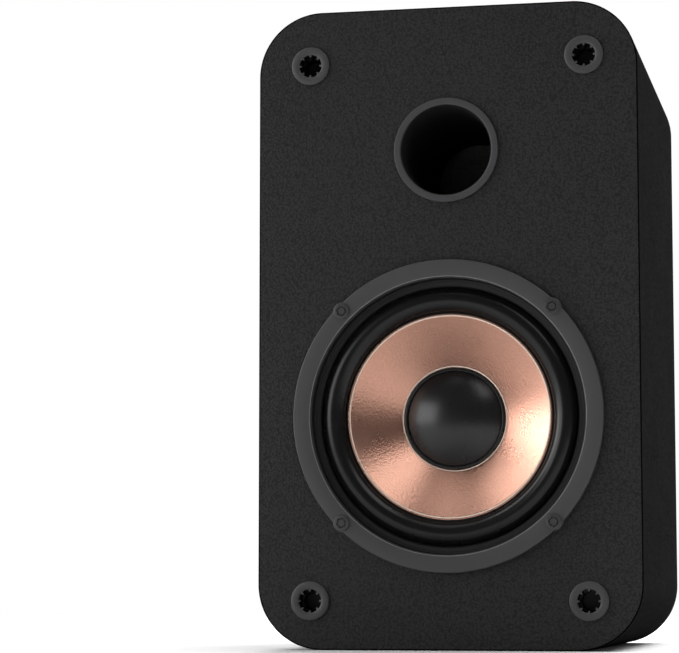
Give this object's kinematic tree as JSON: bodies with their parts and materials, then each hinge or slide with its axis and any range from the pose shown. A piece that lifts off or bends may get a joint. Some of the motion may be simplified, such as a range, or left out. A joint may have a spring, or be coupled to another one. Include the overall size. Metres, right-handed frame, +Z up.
{
  "type": "bookshelf speaker",
  "caption": "Ported bookshelf speaker with rounded black cabinet, copper-coloured cone in a grey trim ring, grille sockets and rear binding posts.",
  "frame": {"origin": "on the resting surface, under the middle of the speaker's box", "axes": "+Z up, -Y out of the front with the driver, +X to the right of someone facing the front"},
  "size_m": [0.142, 0.1634, 0.238],
  "materials": {
    "baffle_paint": "charcoal textured paint, fine grain",
    "vinyl_wrap": "black satin vinyl, very fine grain",
    "raw_board": "raw fibreboard",
    "wadding": "bonded polyester wadding",
    "port_plastic": "satin grey moulded plastic",
    "ring_grey": "satin grey moulded plastic",
    "bolt_grey": "satin grey coated steel",
    "foam": "closed-cell foam",
    "basket_black": "black powder-coated pressed steel",
    "moulded_rubber": "moulded rubber, satin",
    "roll_rubber": "glossy butyl rubber",
    "cone_copper": "copper-coloured, finely blasted metal",
    "cap_black": "glossy black",
    "former_film": "amber film",
    "coil_copper": "enamelled copper wire",
    "spider_cloth": "resin-stiffened cloth",
    "zinc_steel": "zinc-plated steel",
    "ferrite": "pressed ferrite",
    "board_phenolic": "brown laminated board",
    "tinned_brass": "tinned brass",
    "gilt_brass": "gold-plated brass",
    "cup_plastic": "black moulded plastic, spark-textured",
    "screw_black": "black oxide steel",
    "post_red": "red moulded plastic",
    "post_black": "black moulded plastic",
    "wire_red_pvc": "red soft insulation",
    "wire_black_pvc": "black soft insulation"
  },
  "bodies": {
    "cabinet": {"front_baffle": "baffle_paint", "cabinet_shell": "raw_board", "rear_panel": "vinyl_wrap", "side_wrap": "vinyl_wrap", "damping_mat": "wadding", "port_tube": "port_plastic", "grille_socket_top_left": "ring_grey", "grille_socket_top_right": "ring_grey", "grille_socket_bottom_left": "ring_grey", "grille_socket_bottom_right": "ring_grey", "trim_ring": "ring_grey", "driver_screws": "bolt_grey", "driver_nuts": "zinc_steel", "driver_gasket": "foam", "basket": "basket_black", "surround_gasket": "moulded_rubber", "surround": "roll_rubber", "spider": "spider_cloth", "top_plate": "zinc_steel", "magnet": "ferrite", "pole_yoke": "zinc_steel", "tag_board": "board_phenolic", "tag_rivet": "zinc_steel", "driver_tags": "tinned_brass", "tinsel_lead_positive": "tinned_brass", "tinsel_lead_negative": "tinned_brass", "terminal_cup": "cup_plastic", "cup_gasket": "foam", "cup_screws": "screw_black", "red_stud": "gilt_brass", "black_stud": "gilt_brass", "red_collar": "post_red", "black_collar": "post_black", "red_bush": "cup_plastic", "black_bush": "cup_plastic", "red_tab": "zinc_steel", "black_tab": "zinc_steel", "stud_nuts": "zinc_steel", "push_on_connectors": "zinc_steel", "wire_red": "wire_red_pvc", "wire_black": "wire_black_pvc"},
    "moving_cone": {"cone": "cone_copper", "dust_cap": "cap_black", "voice_coil_former": "former_film", "voice_coil": "coil_copper"},
    "red_clamp": {"red_washer": "gilt_brass"},
    "red_cap": {"red_knob": "post_red", "red_knob_insert": "gilt_brass"},
    "black_clamp": {"black_washer": "gilt_brass"},
    "black_cap": {"black_knob": "post_black", "black_knob_insert": "gilt_brass"}
  },
  "joints": [
    {"name": "cone_travel", "type": "slide", "parent": "cabinet", "child": "moving_cone", "axis": [0, 1, 0], "range_m": [-0.003, 0.003], "stiffness_N_per_m": 1250, "deforming": ["surround", "spider", "tinsel_lead_positive", "tinsel_lead_negative"]},
    {"name": "red_clamp_slide", "type": "slide", "parent": "cabinet", "child": "red_clamp", "axis": [0, 1, 0], "range_m": [0, 0.004]},
    {"name": "red_knob_turn", "type": "hinge", "parent": "red_clamp", "child": "red_cap", "pos_m": [-0.0095, 0.071, 0.075], "axis": [0, 1, 0], "range_deg": [0, 1801]},
    {"name": "black_clamp_slide", "type": "slide", "parent": "cabinet", "child": "black_clamp", "axis": [0, 1, 0], "range_m": [0, 0.004]},
    {"name": "black_knob_turn", "type": "hinge", "parent": "black_clamp", "child": "black_cap", "pos_m": [0.0095, 0.071, 0.075], "axis": [0, 1, 0], "range_deg": [0, 1801]}
  ],
  "couplings": [
    {"joint": "red_knob_turn", "follows": "red_clamp_slide", "rad_per_m": 7854},
    {"joint": "black_knob_turn", "follows": "black_clamp_slide", "rad_per_m": 7854}
  ]
}
